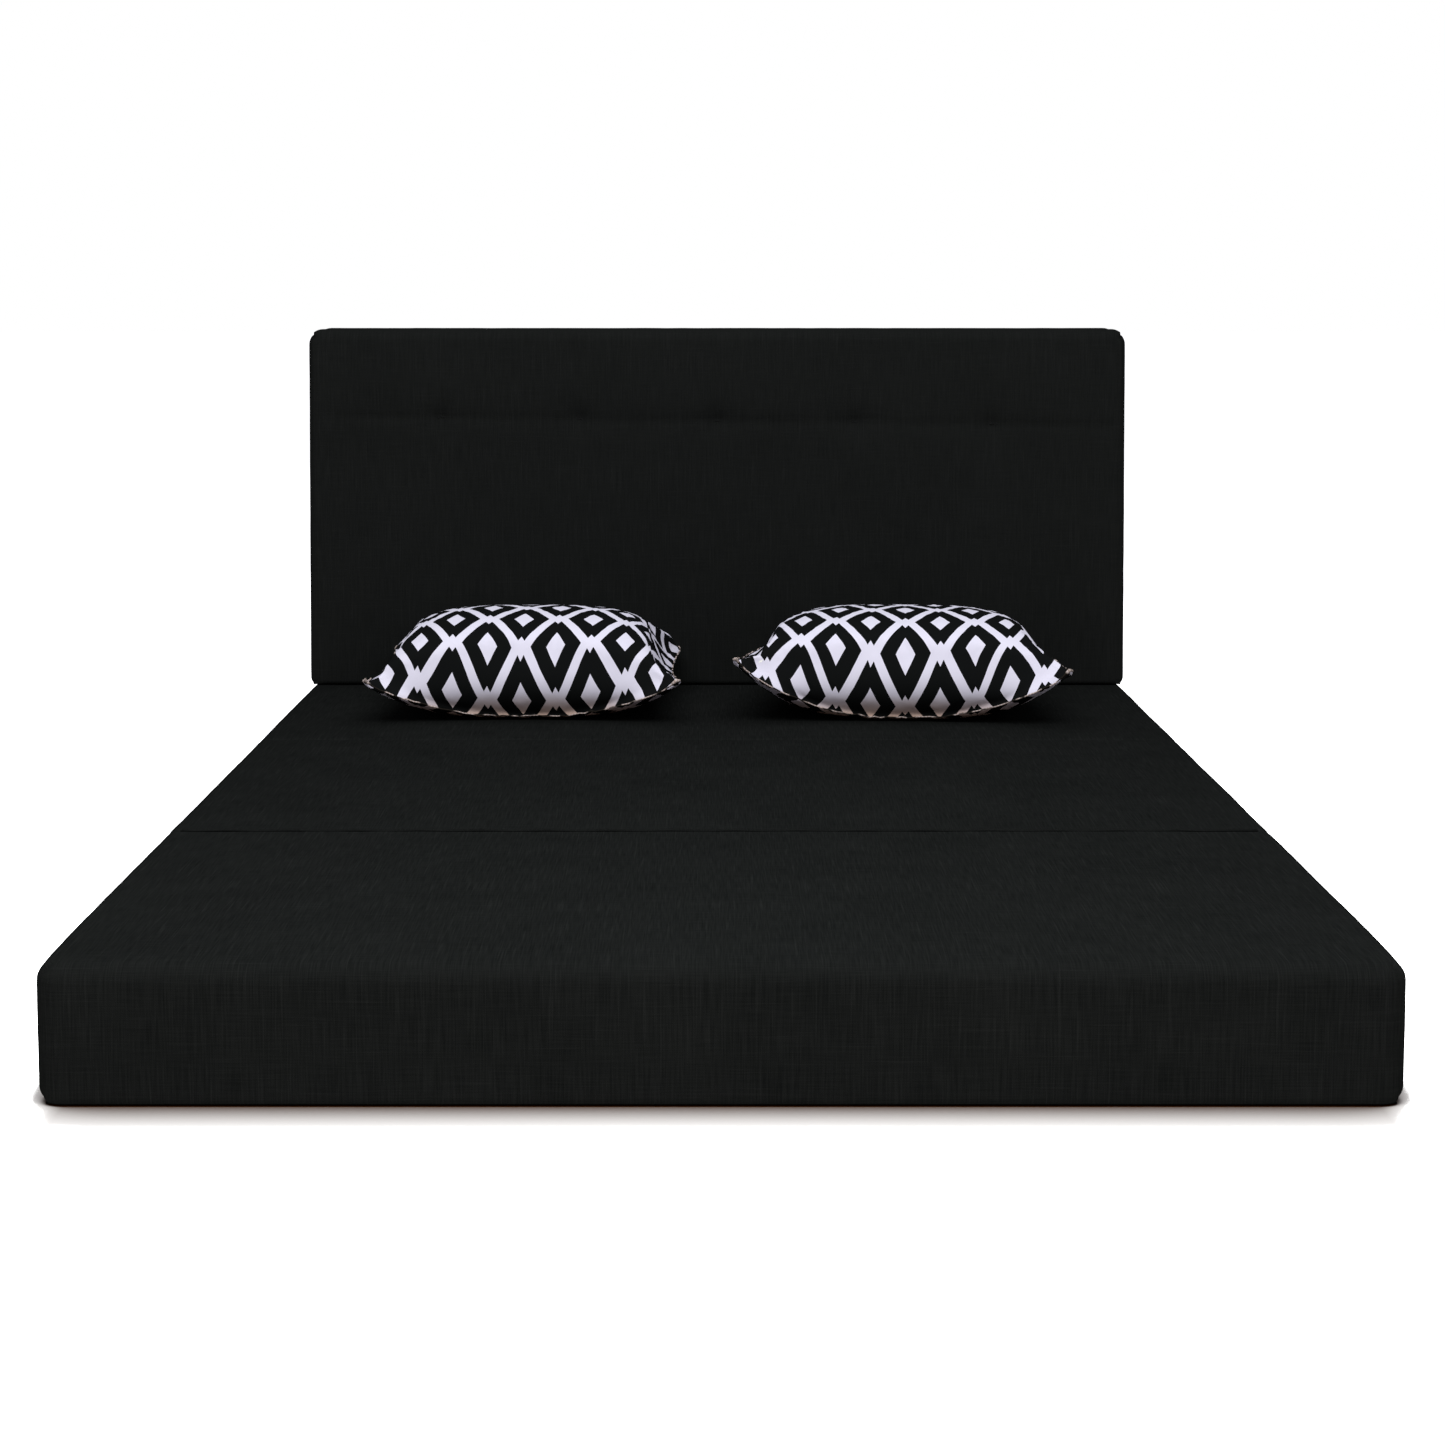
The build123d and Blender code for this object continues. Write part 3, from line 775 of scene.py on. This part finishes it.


# ---- materials
# the second colour is painted warm bounce light, laid on the print's ground near the seat
WHITE, PAINTED_BOUNCE_PEACH, INK = (0.69, 0.675, 0.80), (0.66, 0.47, 0.36), (0.0062, 0.0068, 0.0070)
BOUNCE_TINT_FROM, BOUNCE_TINT_TO = SEAT + 4 * MM, SEAT + 52 * MM      # painted warm bounce light: the print's ground is painted peach near the seat
TRELLIS = (95.5 * MM, 148 * MM)                         # one repeat of the print
LOZENGE = (34.8 * MM, 72.2 * MM)                        # half its width and height, before the notches
NOTCH = 54.7 * MM
HEART = (13.5 * MM, 28 * MM)                            # the white rhombus in a lozenge
PRINT_WEAVE = 1500.0
WEAVE_PITCH = 0.0011


def feed(tree, slot, value):
    """Gives a node's input a Shade, a colour or a number."""
    if isinstance(value, Shade):
        tree.links.new(value.socket, slot)
    else:
        slot.default_value = (*value, 1) if isinstance(value, tuple) else value


def empty_tree(owner):
    """The node tree of a material or a world, with nothing in it."""
    owner.use_nodes = True
    owner.node_tree.nodes.clear()
    return owner.node_tree


def add_node(tree, kind, inputs):
    """A shader node with some of its inputs given, by name or by number."""
    node = tree.nodes.new(kind)
    for slot, value in inputs.items():
        feed(tree, node.inputs[slot], value)
    return node


def mix_colours(tree, factor, first, second):
    """A mix of two colours, each a triple or a Shade."""
    node = tree.nodes.new("ShaderNodeMix")
    node.data_type = "RGBA"
    for slot, value in ((0, factor), (6, first), (7, second)):
        feed(tree, node.inputs[slot], value)
    return Shade(tree, node.outputs[2])


class Shade:
    """A node socket that can be written as a formula."""

    def __init__(self, tree, socket):
        self.tree, self.socket = tree, socket

    def _math(self, operation, *others, clamp=False):
        node = self.tree.nodes.new("ShaderNodeMath")
        node.operation = operation
        node.use_clamp = clamp
        for slot, value in zip(node.inputs, (self, *others)):
            feed(self.tree, slot, value)
        return Shade(self.tree, node.outputs[0])

    __add__ = partialmethod(_math, "ADD")
    __sub__ = partialmethod(_math, "SUBTRACT")
    __mul__ = partialmethod(_math, "MULTIPLY")
    __truediv__ = partialmethod(_math, "DIVIDE")
    __abs__ = partialmethod(_math, "ABSOLUTE")
    clamp = partialmethod(_math, "ADD", 0.0, clamp=True)
    fract = partialmethod(_math, "FRACT")
    less = partialmethod(_math, "LESS_THAN")
    most = partialmethod(_math, "MAXIMUM")
    sine = partialmethod(_math, "SINE")

    def wave(self, period):
        """A triangle wave from 0 to 1."""
        return abs((self / period).fract() - 0.5) * 2.0

    def step(self, low, high):
        """0 below low, 1 above high, and a smooth rise between."""
        values = {"Value": self, "From Min": low, "From Max": high}
        node = add_node(self.tree, "ShaderNodeMapRange", values)
        node.interpolation_type = "SMOOTHSTEP"
        return Shade(self.tree, node.outputs[0])


class Material:
    """A Principled material whose nodes are added by name."""

    def __init__(self, name, roughness, specular, sheen=0.0, metallic=0.0):
        self.material = bpy.data.materials.new(name)
        self.tree = empty_tree(self.material)
        values = {
            "Roughness": roughness, "Specular IOR Level": specular, "Sheen Weight": sheen,
            "Sheen Roughness": 0.5, "Metallic": metallic,
        }
        self.shader = add_node(self.tree, "ShaderNodeBsdfPrincipled", values)
        out = self.tree.nodes.new("ShaderNodeOutputMaterial")
        self.tree.links.new(self.shader.outputs[0], out.inputs[0])

    def coordinates(self, kind="UV"):
        """The x, y and z of a texture coordinate, in metres for UV and Object."""
        coordinate = self.tree.nodes.new("ShaderNodeTexCoord")
        split = self.tree.nodes.new("ShaderNodeSeparateXYZ")
        self.tree.links.new(coordinate.outputs[kind], split.inputs[0])
        return [Shade(self.tree, output) for output in split.outputs]

    def noise(self, x, y, z, detail=2.0):
        """Noise from 0 to 1 at a point, already scaled."""
        join = add_node(self.tree, "ShaderNodeCombineXYZ", {0: x, 1: y, 2: z})
        place = Shade(self.tree, join.outputs[0])
        values = {"Vector": place, "Scale": 1.0, "Detail": detail, "Roughness": 0.5}
        node = add_node(self.tree, "ShaderNodeTexNoise", values)
        return Shade(self.tree, node.outputs["Fac"])

    def colour(self, factor, first, second):
        """Sets the base colour to a mix of two."""
        mixed = mix_colours(self.tree, factor, first, second)
        feed(self.tree, self.shader.inputs["Base Color"], mixed)

    def bump(self, height, distance, strength):
        values = {"Height": height, "Distance": distance, "Strength": strength}
        node = add_node(self.tree, "ShaderNodeBump", values)
        feed(self.tree, self.shader.inputs["Normal"], Shade(self.tree, node.outputs[0]))


def linen(name, dark, light, seed=0.0, warp=1.0):
    """Woven linen-look cloth: crossing threads of uneven weight, with slubs along both."""
    cloth = Material(name, roughness=1.0, specular=0.0)
    u, v, _ = cloth.coordinates()
    warp_thread = cloth.noise(u * 720.0, v * 24.0, seed, detail=1.0)
    weft_thread = cloth.noise(u * 24.0, v * 720.0, seed + 9.0, detail=1.0)
    warp_slub = cloth.noise(u * 420.0, v * 11.0, seed + 17.0, detail=1.0).step(0.56, 0.74)
    weft_slub = cloth.noise(u * 11.0, v * 420.0, seed + 25.0, detail=1.0).step(0.58, 0.76)
    cloud = cloth.noise(u * 9.0, v * 9.0, seed + 33.0, detail=3.0)
    threads = (warp_thread * warp + weft_thread * (2.0 - warp)) * 0.5
    slubs = warp_slub * (0.5 * warp) + weft_slub * (0.5 * (2.0 - warp))
    tone = (threads * 1.1 - 0.25 + slubs * 0.35 + cloud * 0.3 - 0.12).clamp()
    cloth.colour(tone, dark, light)
    over = (u * (math.pi / WEAVE_PITCH)).sine() * (v * (math.pi / WEAVE_PITCH)).sine()
    cloth.bump(threads * 1.2 + slubs * 0.8 + over * 0.25, 0.35 * MM, 0.7)
    return cloth.material


def print_material():
    """A traditional diamond trellis print: black lozenges with notched ends, a white rhombus in each.

    The white ground is painted peach near the seat: painted warm bounce light from below.
    """
    cloth = Material("trellis_print", roughness=1.0, specular=0.0)
    u, v, _ = cloth.coordinates()
    wide, tall = TRELLIS
    inks = None
    for shift in (0.0, 0.5):
        x = abs(((u / wide + (shift + 0.5)).fract() - 0.5) * wide)
        y = abs(((v / tall + (shift + 0.5)).fract() - 0.5) * tall)
        lozenge = (x / LOZENGE[0] + y / LOZENGE[1]).less(1.0)
        notched = (y - x * 2.0).less(NOTCH)
        heart = (x / HEART[0] + y / HEART[1]).less(1.0)
        ink = lozenge * notched * (heart * -1.0 + 1.0)
        inks = ink if inks is None else inks.most(ink)
    weave = cloth.noise(u * PRINT_WEAVE, v * PRINT_WEAVE, 0.0, detail=1.0)
    # random soiling of the ground, which also wobbles the edge of the painted bounce light
    soil_and_bounce_edge = cloth.noise(u * 14.0, v * 14.0, 4.0, detail=3.0)
    height = cloth.coordinates("Object")[2]
    # painted warm bounce light: the ground turns peach below a height over the seat
    ground = mix_colours(cloth.tree, (height + soil_and_bounce_edge * 0.012).step(BOUNCE_TINT_FROM, BOUNCE_TINT_TO), PAINTED_BOUNCE_PEACH, WHITE)
    unevenness = ((weave - 0.5) * 0.07 + (soil_and_bounce_edge - 0.5) * 0.05) * (inks * -0.95 + 1.0)
    cloth.colour((inks + unevenness).clamp(), ground, INK)
    cloth.bump(weave + inks * 0.15, 0.15 * MM, 0.5)
    return cloth.material


def edging_material():
    """The turned edge of the printed cloth: its pale ground with painted shade in the low places, and
    dark runs where the print meets it.
    """
    edge = Material("cushion_edge", roughness=1.0, specular=0.0)
    u, v, _ = edge.coordinates()
    stitches = u.wave(4.5 * MM).step(0.35, 0.5)
    weave = edge.noise(u * PRINT_WEAVE, v * PRINT_WEAVE, 0.0, detail=1.0)
    printed = edge.noise(u * 38.0, 0.0, 7.0, detail=1.0).step(0.47, 0.53)
    # painted shade: the edge is tan-brown in the low places between stitches and threads, and pale where
    # raised
    raised = (stitches * 0.5 + weave * 0.5).clamp()
    pale = mix_colours(edge.tree, raised, (0.30, 0.22, 0.17), (0.66, 0.58, 0.58))
    edge.colour(printed, pale, (0.02, 0.017, 0.014))
    edge.bump(stitches + weave * 0.3, 0.2 * MM, 0.6)
    return edge.material


def foam_material():
    foam = Material("foam", roughness=0.95, specular=0.2)
    x, y, z = foam.coordinates("Object")
    cells = foam.noise(x * 600.0, y * 600.0, z * 600.0, detail=2.0)
    cloud = foam.noise(x * 12.0, y * 12.0, z * 12.0)
    foam.colour((cells * 0.7 + cloud * 0.3).clamp(), (0.62, 0.55, 0.38), (0.86, 0.8, 0.64))
    foam.bump(cells, 0.6 * MM, 0.6)
    return foam.material


def wadding_material():
    wad = Material("wadding", roughness=1.0, specular=0.1, sheen=0.3)
    x, y, z = wad.coordinates("Object")
    fibres = wad.noise(x * 300.0, y * 90.0, z * 500.0, detail=4.0)
    wad.colour(fibres.step(0.3, 0.7), (0.72, 0.72, 0.7), (0.92, 0.92, 0.9))
    wad.bump(fibres, 1.0 * MM, 0.5)
    return wad.material


def zip_tape_material(name, across):
    """Woven tape with a coil of teeth along its middle. across is the axis over its width."""
    tape = Material(name, roughness=0.6, specular=0.3)
    place = tape.coordinates("Generated")
    middle = abs(place[across] - 0.5) * 2.0
    x = tape.coordinates("Object")[0]
    teeth = (x.wave(1.7 * MM)).step(0.25, 0.6)
    weave = x.wave(0.9 * MM) * place[across].wave(0.05)
    coil = middle.step(0.22, 0.16)
    tape.colour((coil * teeth * 0.7 + weave * 0.3).clamp(), (0.008, 0.009, 0.009), (0.035, 0.036, 0.036))
    tape.bump(coil * teeth + weave * 0.2, 0.5 * MM, 0.9)
    return tape.material


def thread_material():
    """Twisted polyester thread."""
    thread = Material("thread", roughness=0.9, specular=0.05)
    x, y, z = thread.coordinates("Object")
    ply = (x * 2400.0 + z * 2400.0 + y * 1200.0).sine() * 0.5 + 0.5
    fuzz = thread.noise(x * 500.0, y * 500.0, z * 500.0)
    thread.colour((ply * 0.6 + fuzz * 0.4).clamp(), (0.004, 0.0045, 0.0045), (0.016, 0.017, 0.017))
    thread.bump(ply, 0.2 * MM, 0.6)
    return thread.material


def slider_material():
    """Black lacquer over metal, worn brighter on raised spots."""
    slider = Material("slider_lacquer", roughness=0.35, specular=0.5, metallic=0.6)
    x, y, z = slider.coordinates("Object")
    wear = slider.noise(x * 900.0, y * 900.0, z * 900.0, detail=3.0).step(0.6, 0.75)
    slider.colour(wear, (0.015, 0.015, 0.016), (0.14, 0.135, 0.13))
    slider.bump(wear, 0.05 * MM, 0.5)
    return slider.material


# ---- stage, light and camera
FLOOR_WHITE = (3.2, 3.2, 3.2)
FLOOR_FOR_LIGHT = (0.72, 0.70, 0.68)    # the floor as it lights the object
FLOOR_SHADE = (0.042, 0.012, 0.0)       # painted shadow colour, right at the object's foot
FLOOR_SIZE = 40.0
SKY_LIGHT = (0.37, 0.37, 0.38)
CONTACT_REACH = 80 * MM         # how far the painted shadow at the object's foot reaches over the floor
CAMERA_PLACE, CAMERA_TILT = (-0.0094, -3.2853, 0.7239), 6.0743
CAMERA_LENS, CAMERA_SHIFT = 68.37, (0.0081, -0.10)


def seen_directly(tree):
    """1 for camera, mirror and glass rays, and 0 for light."""
    path = tree.nodes.new("ShaderNodeLightPath")
    camera, gloss, glass = (
        Shade(tree, path.outputs[name])
        for name in ("Is Camera Ray", "Is Glossy Ray", "Is Transmission Ray")
    )
    return camera.most(gloss).most(glass)


def floor_nodes(tree):
    """A pale floor: white where light reaches it, with a painted contact shadow round the object's foot.
    """
    direct = seen_directly(tree)
    contact = add_node(tree, "ShaderNodeAmbientOcclusion", {"Distance": CONTACT_REACH})
    contact.samples = 24
    place = tree.nodes.new("ShaderNodeNewGeometry")
    split = tree.nodes.new("ShaderNodeSeparateXYZ")
    tree.links.new(place.outputs["Position"], split.inputs[0])
    # painted contact shadow: the floor's colour as seen darkens with ambient occlusion near the object,
    # less beside its sides
    beside = (abs(Shade(tree, split.outputs[0])) - (PANEL_BOX["front"][1][0] - 25 * MM)).most(0.0)
    openness = Shade(tree, contact.outputs["AO"]) + beside * 9.0
    open_sky = (((openness - 0.45) * 0.48).most(0.0) + openness.step(0.94, 1.0) * 0.8).clamp()
    pale = mix_colours(tree, open_sky, FLOOR_SHADE, FLOOR_WHITE)
    colour = mix_colours(tree, direct, FLOOR_FOR_LIGHT, pale)
    diffuse = add_node(tree, "ShaderNodeBsdfDiffuse", {"Color": colour})
    out = tree.nodes.new("ShaderNodeOutputMaterial")
    tree.links.new(diffuse.outputs[0], out.inputs[0])


def add_floor():
    corners = ((-1, -1), (1, -1), (1, 1), (-1, 1))
    points = [(x * FLOOR_SIZE, y * FLOOR_SIZE, -0.5 * MM) for x, y in corners]
    floor = add_mesh("floor", points, [(0, 1, 2, 3)])
    material = bpy.data.materials.new("floor")
    floor_nodes(empty_tree(material))
    floor.data.materials.append(material)


def add_world():
    """Soft light from all round, and pure white where the camera sees past the floor."""
    world = bpy.data.worlds.new("studio")
    SCENE.world = world
    tree = empty_tree(world)
    colour = mix_colours(tree, seen_directly(tree), SKY_LIGHT, (1, 1, 1))
    sky = add_node(tree, "ShaderNodeBackground", {"Color": colour})
    out = tree.nodes.new("ShaderNodeOutputWorld")
    tree.links.new(sky.outputs[0], out.inputs[0])


def add_area(name, place, aim, size, power, colour):
    light = bpy.data.lights.new(name, "AREA")
    light.shape = "RECTANGLE"
    light.size, light.size_y = size
    light.energy = power
    light.color = colour
    lamp = add_object(name, light)
    lamp.visible_camera = False
    lamp.location = place
    lamp.rotation_euler = (Vector(aim) - Vector(place)).to_track_quat("-Z", "Y").to_euler()


def add_camera():
    data = bpy.data.cameras.new("camera")
    data.sensor_width = 36.0
    data.lens = CAMERA_LENS
    data.shift_x, data.shift_y = CAMERA_SHIFT
    data.clip_end = 100.0
    camera = add_object("camera", data)
    camera.location = CAMERA_PLACE
    camera.rotation_euler = (math.radians(90.0 - CAMERA_TILT), 0.0, 0.0)
    bpy.context.scene.camera = camera


def dress_hardware(thread):
    """Gives the zips and the ties, which stay as the CAD has them, their materials."""
    slider = slider_material()
    flat_tape = zip_tape_material("zip_tape_flat", 1)
    upright_tape = zip_tape_material("zip_tape_upright", 2)
    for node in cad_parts:
        if node.endswith("tuft_ties"):
            material = thread
        elif node.endswith("zip_slider"):
            material = slider
        elif node.endswith("zip_chain"):
            material = upright_tape if "cushion" in node or "backrest" in node else flat_tape
        else:
            continue
        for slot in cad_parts[node].material_slots:
            slot.material = material


# ---- making it all
add_camera()
add_floor()
add_world()
add_area("overhead", (0.0, 0.0, 2.8), (0.0, 0.0, 0.0), (3.0, 2.4), 20.0, (1.0, 1.0, 1.0))
add_area("front_softbox", (0.0, -1.6, 2.2), (0.0, -0.6, 0.1), (2.6, 1.2), 67.0, (0.985, 1.0, 0.995))
add_area("low_fill", (0.0, -4.2, 0.6), (0.0, 0.0, 0.2), (3.6, 1.0), 12.0, (1.0, 0.70, 0.60))
SCENE.view_settings.view_transform = "Standard"

cover_cloth = linen("cover_linen", (0.0048, 0.0054, 0.0053), (0.0160, 0.0171, 0.0166), warp=1.3)
plain_cloth = linen("base_linen", (0.0050, 0.0054, 0.0053), (0.0135, 0.0145, 0.0141), seed=5.0)
back_cloth = linen("backrest_linen", (0.0067, 0.0074, 0.0072), (0.0140, 0.0149, 0.0146),
                   seed=2.0, warp=1.3)
printed_cloth = print_material()
foam, wadding_fibre, edge_cloth = foam_material(), wadding_material(), edging_material()
tack_thread = thread_material()
dress_hardware(tack_thread)
for panel_name in PANELS:
    panel_cover(panel_name, cover_cloth, foam)
    panel_base(panel_name, plain_cloth)
back = backrest_cover(back_cloth)
backrest_back(plain_cloth)
backrest_filling(foam, wadding_fibre)
tuft_stitches(back, tack_thread)
fold_strips(plain_cloth)
left = Cushion("left", 224 * MM, (64 * MM, 64 * MM), 60 * MM, 0.0, (-3.0 * MM, 33 * MM))
right = Cushion("right", 236 * MM, (95 * MM, 84 * MM), 98 * MM, 0.2, (4.0 * MM, 99 * MM))
make_cushion(left, 3, printed_cloth, edge_cloth, wadding_fibre)
make_cushion(right, 8, printed_cloth, edge_cloth, wadding_fibre)
